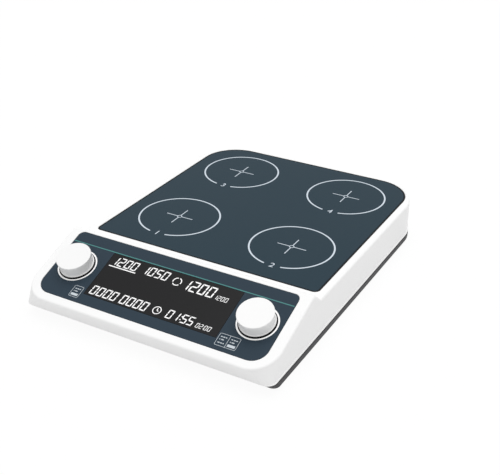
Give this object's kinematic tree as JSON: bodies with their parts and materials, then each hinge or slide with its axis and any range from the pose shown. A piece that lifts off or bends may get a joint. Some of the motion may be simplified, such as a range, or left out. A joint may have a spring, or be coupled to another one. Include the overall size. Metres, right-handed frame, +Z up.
{
  "type": "multi-position magnetic stirrer",
  "caption": "Flat bench magnetic stirrer: a square work plate with ringed stirring positions, motors with magnet carriers under it, and a raised sloping console with a display and push knobs.",
  "frame": {"origin": "on the bench, under the middle of the body's length and width", "axes": "+Z up, +Y from the operator's side with the console to the back, +X to the operator's right"},
  "size_m": [0.253, 0.347, 0.0573],
  "materials": {
    "white_plastic": "smooth white moulded",
    "knob_plastic": "smooth white moulded",
    "tray_plastic": "fine matte grey",
    "plate_plastic": "even slate with pale printed rings",
    "seal_rubber": "matte black",
    "overlay_film": "even slate film with pale print",
    "smoked_window": "smoked, smooth",
    "foot_rubber": "matte black",
    "board_green": "solder mask",
    "display_black": "satin black",
    "bridge_aluminium": "mill finish sheet",
    "motor_steel": "plated can",
    "carrier_plastic": "matte black",
    "magnet_nickel": "bright nickel plate",
    "screw_steel": "zinc plated",
    "black_plastic": "satin black"
  },
  "bodies": {
    "base": {"base_tray": "tray_plastic", "foot_front_left": "foot_rubber", "foot_front_right": "foot_rubber", "foot_back_left": "foot_rubber", "foot_back_right": "foot_rubber", "housing_screw_1": "screw_steel", "housing_screw_2": "screw_steel", "housing_screw_3": "screw_steel", "housing_screw_4": "screw_steel", "top_housing": "white_plastic", "work_plate": "plate_plastic", "plate_gasket": "seal_rubber", "motor_bridge": "bridge_aluminium", "bridge_screw_1": "screw_steel", "bridge_screw_2": "screw_steel", "bridge_screw_3": "screw_steel", "bridge_screw_4": "screw_steel", "motor_1": "motor_steel", "motor_1_screw_left": "screw_steel", "motor_1_screw_right": "screw_steel", "motor_2": "motor_steel", "motor_2_screw_left": "screw_steel", "motor_2_screw_right": "screw_steel", "motor_3": "motor_steel", "motor_3_screw_left": "screw_steel", "motor_3_screw_right": "screw_steel", "motor_4": "motor_steel", "motor_4_screw_left": "screw_steel", "motor_4_screw_right": "screw_steel", "driver_board": "board_green", "power_jack": "black_plastic", "control_overlay": "overlay_film", "display_window": "smoked_window", "display_module": "display_black", "control_board": "board_green", "left_encoder": "black_plastic", "right_encoder": "black_plastic"},
    "carrier_1": {"magnet_carrier_1": "carrier_plastic", "magnet_1_left": "magnet_nickel", "magnet_1_right": "magnet_nickel"},
    "carrier_2": {"magnet_carrier_2": "carrier_plastic", "magnet_2_left": "magnet_nickel", "magnet_2_right": "magnet_nickel"},
    "carrier_3": {"magnet_carrier_3": "carrier_plastic", "magnet_3_left": "magnet_nickel", "magnet_3_right": "magnet_nickel"},
    "carrier_4": {"magnet_carrier_4": "carrier_plastic", "magnet_4_left": "magnet_nickel", "magnet_4_right": "magnet_nickel"},
    "left_push": {"left_encoder_plunger": "black_plastic"},
    "left_turn": {"left_encoder_shaft": "motor_steel", "left_knob": "knob_plastic"},
    "right_push": {"right_encoder_plunger": "black_plastic"},
    "right_turn": {"right_encoder_shaft": "motor_steel", "right_knob": "knob_plastic"}
  },
  "joints": [
    {"name": "stir_1", "type": "hinge", "parent": "base", "child": "carrier_1", "pos_m": [-0.0621, -0.01014, 0.03], "axis": [0, 0, 1], "continuous": true},
    {"name": "stir_2", "type": "hinge", "parent": "base", "child": "carrier_2", "pos_m": [0.0621, -0.01014, 0.03], "axis": [0, 0, 1], "continuous": true},
    {"name": "stir_3", "type": "hinge", "parent": "base", "child": "carrier_3", "pos_m": [-0.0621, 0.11346, 0.03], "axis": [0, 0, 1], "continuous": true},
    {"name": "stir_4", "type": "hinge", "parent": "base", "child": "carrier_4", "pos_m": [0.0621, 0.11346, 0.03], "axis": [0, 0, 1], "continuous": true},
    {"name": "left_knob_push", "type": "slide", "parent": "base", "child": "left_push", "axis": [0, 0.3448, -0.9387], "range_m": [0, 0.0005], "stiffness_N_per_m": 1500, "springref_m": -0.001},
    {"name": "left_knob_turn", "type": "hinge", "parent": "left_push", "child": "left_turn", "pos_m": [-0.0928, -0.13128, 0.04018], "axis": [0, -0.3448, 0.9387], "continuous": true},
    {"name": "right_knob_push", "type": "slide", "parent": "base", "child": "right_push", "axis": [0, 0.3448, -0.9387], "range_m": [0, 0.0005], "stiffness_N_per_m": 1500, "springref_m": -0.001},
    {"name": "right_knob_turn", "type": "hinge", "parent": "right_push", "child": "right_turn", "pos_m": [0.0928, -0.13128, 0.04018], "axis": [0, -0.3448, 0.9387], "continuous": true}
  ]
}
